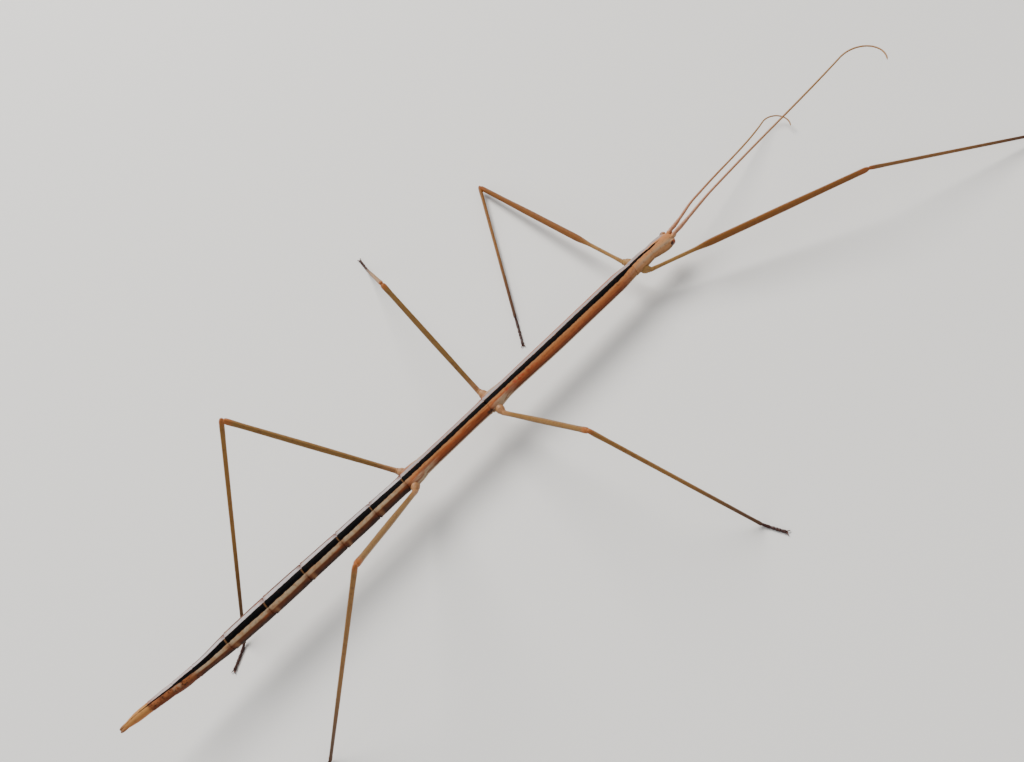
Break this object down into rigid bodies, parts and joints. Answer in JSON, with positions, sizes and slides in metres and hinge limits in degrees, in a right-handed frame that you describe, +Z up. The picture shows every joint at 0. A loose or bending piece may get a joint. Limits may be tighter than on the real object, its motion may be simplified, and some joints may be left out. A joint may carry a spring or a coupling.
{
  "type": "stick insect",
  "caption": "Life-size still model of a slender wingless stick insect standing low, one foreleg reaching ahead, with a dark stripe down its back.",
  "frame": {"origin": "centre of the bounding box, on the ground under the insect", "axes": "+X towards the head along the body, +Y to the insect's left, +Z up"},
  "size_m": [0.1684, 0.0908, 0.0284],
  "materials": {
    "head": "satin pinkish-tan cuticle with a faint dark stripe",
    "thorax": "satin red-orange cuticle, near-black stripe on top edged with pale lines",
    "abdomen": "satin brown cuticle, near-black stripe on top edged with tan bands",
    "eye": "glossy brown",
    "antenna": "satin golden tan",
    "leg": "satin golden-tan to orange-brown cuticle",
    "tarsus": "satin dark reddish brown"
  },
  "bodies": {
    "root": {"head": "head", "prothorax": "thorax", "mesothorax": "thorax", "metathorax": "thorax", "abdomen_2": "abdomen", "abdomen_3": "abdomen", "abdomen_4": "abdomen", "abdomen_5": "abdomen", "abdomen_6": "abdomen", "abdomen_7": "abdomen", "abdomen_8": "abdomen", "abdomen_9": "abdomen", "abdomen_10": "abdomen", "subgenital_plate": "abdomen", "cercus_left": "abdomen", "cercus_right": "abdomen", "eye_left": "eye", "eye_right": "eye", "antenna_left_base": "antenna", "antenna_left_middle": "antenna", "antenna_left_tip": "antenna", "antenna_right_base": "antenna", "antenna_right_middle": "antenna", "antenna_right_tip": "antenna", "coxa_front_left": "leg", "femur_front_left": "leg", "tibia_front_left": "leg", "tarsus_front_left": "tarsus", "coxa_front_right": "leg", "femur_front_right": "leg", "tibia_front_right": "leg", "tarsus_front_right": "tarsus", "coxa_middle_left": "leg", "femur_middle_left": "leg", "tibia_middle_left": "leg", "tarsus_middle_left": "tarsus", "coxa_middle_right": "leg", "femur_middle_right": "leg", "tibia_middle_right": "leg", "tarsus_middle_right": "tarsus", "coxa_hind_left": "leg", "femur_hind_left": "leg", "tibia_hind_left": "leg", "tarsus_hind_left": "tarsus", "coxa_hind_right": "leg", "femur_hind_right": "leg", "tibia_hind_right": "leg", "tarsus_hind_right": "tarsus"}
  },
  "joints": []
}
